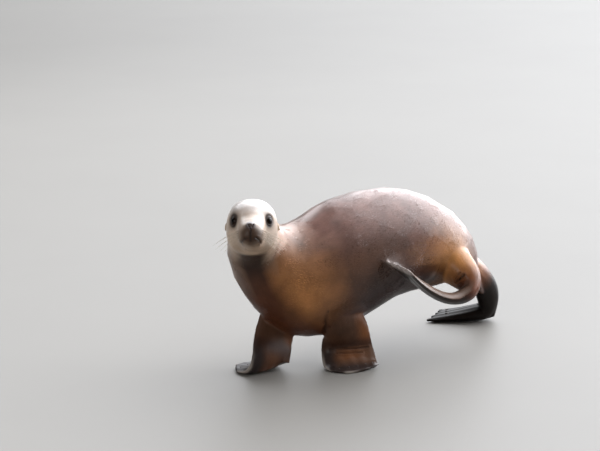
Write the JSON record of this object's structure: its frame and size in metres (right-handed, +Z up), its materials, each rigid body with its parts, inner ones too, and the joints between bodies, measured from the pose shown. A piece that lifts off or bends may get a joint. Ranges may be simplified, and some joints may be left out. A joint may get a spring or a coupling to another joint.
{
  "type": "california sea lion, standing still model",
  "caption": "Life-size still model of a sleek wet sea lion, standing on its fore flippers and one hind flipper, the other hind flipper lifted, head turned left.",
  "frame": {"origin": "On the floor, under the middle of the bounding box", "axes": "+Z up; the trunk lies along X with the head end at -X; the animal's left side faces -Y"},
  "size_m": [1.1226, 0.3718, 0.5523],
  "materials": {
    "back_coat": "wet short coat",
    "face_coat": "wet short coat, pale",
    "fore_skin": "wet hide with sparse hair",
    "hind_skin": "wet bare hide",
    "nose_skin": "bare damp skin",
    "eye_gloss": "wet gloss",
    "nail_horn": "horn, satin"
  },
  "bodies": {
    "root": {"head": "face_coat", "lower_jaw": "face_coat", "nose_pad": "nose_skin", "eye_left": "eye_gloss", "ear_left": "face_coat", "eye_right": "eye_gloss", "ear_right": "face_coat", "neck": "back_coat", "chest": "back_coat", "shoulders": "back_coat", "back": "back_coat", "loins": "back_coat", "rump": "back_coat", "tail": "back_coat", "fore_leg_left": "fore_skin", "fore_flipper_left": "fore_skin", "fore_flipper_left_nail_1": "nail_horn", "fore_flipper_left_nail_2": "nail_horn", "fore_flipper_left_nail_3": "nail_horn", "fore_flipper_left_nail_4": "nail_horn", "fore_flipper_left_nail_5": "nail_horn", "fore_leg_right": "fore_skin", "fore_flipper_right": "fore_skin", "fore_flipper_right_nail_1": "nail_horn", "fore_flipper_right_nail_2": "nail_horn", "fore_flipper_right_nail_3": "nail_horn", "fore_flipper_right_nail_4": "nail_horn", "fore_flipper_right_nail_5": "nail_horn", "hind_leg_left": "hind_skin", "hind_flipper_left": "hind_skin", "hind_flipper_left_nail_1": "nail_horn", "hind_flipper_left_nail_2": "nail_horn", "hind_flipper_left_nail_3": "nail_horn", "hind_leg_right": "hind_skin", "hind_flipper_right": "hind_skin", "hind_flipper_right_nail_1": "nail_horn", "hind_flipper_right_nail_2": "nail_horn", "hind_flipper_right_nail_3": "nail_horn"}
  },
  "joints": []
}
